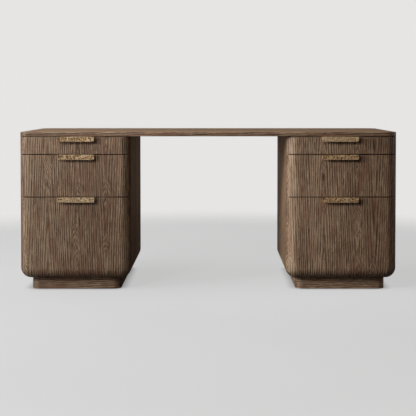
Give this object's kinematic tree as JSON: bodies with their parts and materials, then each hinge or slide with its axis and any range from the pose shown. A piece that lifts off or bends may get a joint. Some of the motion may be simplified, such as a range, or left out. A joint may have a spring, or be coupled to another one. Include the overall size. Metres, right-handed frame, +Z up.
{
  "type": "pedestal desk",
  "caption": "Double pedestal desk in brown oak with rounded pedestals, recessed plinths, full-overlay drawers on telescopic runners and cast brass edge pulls.",
  "frame": {"origin": "on the floor under the middle of the desk's outline, pulls included", "axes": "+X to the right as seen from the drawer side, +Y to the back, +Z up"},
  "size_m": [1.829, 0.78, 0.768],
  "materials": {
    "oak_veneer": "brown wire-brushed oak, open grain, matt lacquer",
    "drawer_birch": "pale birch boards, satin lacquer",
    "cast_brass": "cast brass with a pitted, hammered face, satin",
    "zinc_steel": "zinc plated, dull",
    "nylon": "dark moulded nylon"
  },
  "bodies": {
    "desk": {"desktop": "oak_veneer", "desktop_screws": "zinc_steel", "floor_glides": "nylon", "fixed_runners": "zinc_steel", "left_outer_side": "oak_veneer", "left_inner_side": "oak_veneer", "left_back_panel": "oak_veneer", "left_case_bottom": "oak_veneer", "left_case_top": "drawer_birch", "left_plinth": "oak_veneer", "right_outer_side": "oak_veneer", "right_inner_side": "oak_veneer", "right_back_panel": "oak_veneer", "right_case_bottom": "oak_veneer", "right_case_top": "drawer_birch", "right_plinth": "oak_veneer"},
    "left_top_drawer": {"left_top_drawer_front": "oak_veneer", "left_top_drawer_pull": "cast_brass", "left_top_drawer_box_sides": "drawer_birch", "left_top_drawer_box_ends": "drawer_birch", "left_top_drawer_box_bottom": "drawer_birch", "left_top_drawer_box_runners": "zinc_steel"},
    "left_top_middle_runners": {"left_top_drawer_middle_runners": "zinc_steel"},
    "left_middle_drawer": {"left_middle_drawer_front": "oak_veneer", "left_middle_drawer_pull": "cast_brass", "left_middle_drawer_box_sides": "drawer_birch", "left_middle_drawer_box_ends": "drawer_birch", "left_middle_drawer_box_bottom": "drawer_birch", "left_middle_drawer_box_runners": "zinc_steel"},
    "left_middle_middle_runners": {"left_middle_drawer_middle_runners": "zinc_steel"},
    "left_bottom_drawer": {"left_bottom_drawer_front": "oak_veneer", "left_bottom_drawer_pull": "cast_brass", "left_bottom_drawer_box_sides": "drawer_birch", "left_bottom_drawer_box_ends": "drawer_birch", "left_bottom_drawer_box_bottom": "drawer_birch", "left_bottom_drawer_box_runners": "zinc_steel", "left_bottom_drawer_file_rails": "zinc_steel"},
    "left_bottom_middle_runners": {"left_bottom_drawer_middle_runners": "zinc_steel"},
    "right_top_drawer": {"right_top_drawer_front": "oak_veneer", "right_top_drawer_pull": "cast_brass", "right_top_drawer_box_sides": "drawer_birch", "right_top_drawer_box_ends": "drawer_birch", "right_top_drawer_box_bottom": "drawer_birch", "right_top_drawer_box_runners": "zinc_steel"},
    "right_top_middle_runners": {"right_top_drawer_middle_runners": "zinc_steel"},
    "right_middle_drawer": {"right_middle_drawer_front": "oak_veneer", "right_middle_drawer_pull": "cast_brass", "right_middle_drawer_box_sides": "drawer_birch", "right_middle_drawer_box_ends": "drawer_birch", "right_middle_drawer_box_bottom": "drawer_birch", "right_middle_drawer_box_runners": "zinc_steel"},
    "right_middle_middle_runners": {"right_middle_drawer_middle_runners": "zinc_steel"},
    "right_bottom_drawer": {"right_bottom_drawer_front": "oak_veneer", "right_bottom_drawer_pull": "cast_brass", "right_bottom_drawer_box_sides": "drawer_birch", "right_bottom_drawer_box_ends": "drawer_birch", "right_bottom_drawer_box_bottom": "drawer_birch", "right_bottom_drawer_box_runners": "zinc_steel", "right_bottom_drawer_file_rails": "zinc_steel"},
    "right_bottom_middle_runners": {"right_bottom_drawer_middle_runners": "zinc_steel"}
  },
  "joints": [
    {"name": "left_top_drawer_slide", "type": "slide", "parent": "desk", "child": "left_top_drawer", "axis": [0, -1, 0], "range_m": [0, 0.58]},
    {"name": "left_top_middle_runners_slide", "type": "slide", "parent": "desk", "child": "left_top_middle_runners", "axis": [0, -1, 0], "range_m": [0, 0.29]},
    {"name": "left_middle_drawer_slide", "type": "slide", "parent": "desk", "child": "left_middle_drawer", "axis": [0, -1, 0], "range_m": [0, 0.58]},
    {"name": "left_middle_middle_runners_slide", "type": "slide", "parent": "desk", "child": "left_middle_middle_runners", "axis": [0, -1, 0], "range_m": [0, 0.29]},
    {"name": "left_bottom_drawer_slide", "type": "slide", "parent": "desk", "child": "left_bottom_drawer", "axis": [0, -1, 0], "range_m": [0, 0.58]},
    {"name": "left_bottom_middle_runners_slide", "type": "slide", "parent": "desk", "child": "left_bottom_middle_runners", "axis": [0, -1, 0], "range_m": [0, 0.29]},
    {"name": "right_top_drawer_slide", "type": "slide", "parent": "desk", "child": "right_top_drawer", "axis": [0, -1, 0], "range_m": [0, 0.58]},
    {"name": "right_top_middle_runners_slide", "type": "slide", "parent": "desk", "child": "right_top_middle_runners", "axis": [0, -1, 0], "range_m": [0, 0.29]},
    {"name": "right_middle_drawer_slide", "type": "slide", "parent": "desk", "child": "right_middle_drawer", "axis": [0, -1, 0], "range_m": [0, 0.58]},
    {"name": "right_middle_middle_runners_slide", "type": "slide", "parent": "desk", "child": "right_middle_middle_runners", "axis": [0, -1, 0], "range_m": [0, 0.29]},
    {"name": "right_bottom_drawer_slide", "type": "slide", "parent": "desk", "child": "right_bottom_drawer", "axis": [0, -1, 0], "range_m": [0, 0.58]},
    {"name": "right_bottom_middle_runners_slide", "type": "slide", "parent": "desk", "child": "right_bottom_middle_runners", "axis": [0, -1, 0], "range_m": [0, 0.29]}
  ],
  "couplings": [
    {"joint": "left_top_middle_runners_slide", "follows": "left_top_drawer_slide", "ratio": 0.5},
    {"joint": "left_middle_middle_runners_slide", "follows": "left_middle_drawer_slide", "ratio": 0.5},
    {"joint": "left_bottom_middle_runners_slide", "follows": "left_bottom_drawer_slide", "ratio": 0.5},
    {"joint": "right_top_middle_runners_slide", "follows": "right_top_drawer_slide", "ratio": 0.5},
    {"joint": "right_middle_middle_runners_slide", "follows": "right_middle_drawer_slide", "ratio": 0.5},
    {"joint": "right_bottom_middle_runners_slide", "follows": "right_bottom_drawer_slide", "ratio": 0.5}
  ]
}
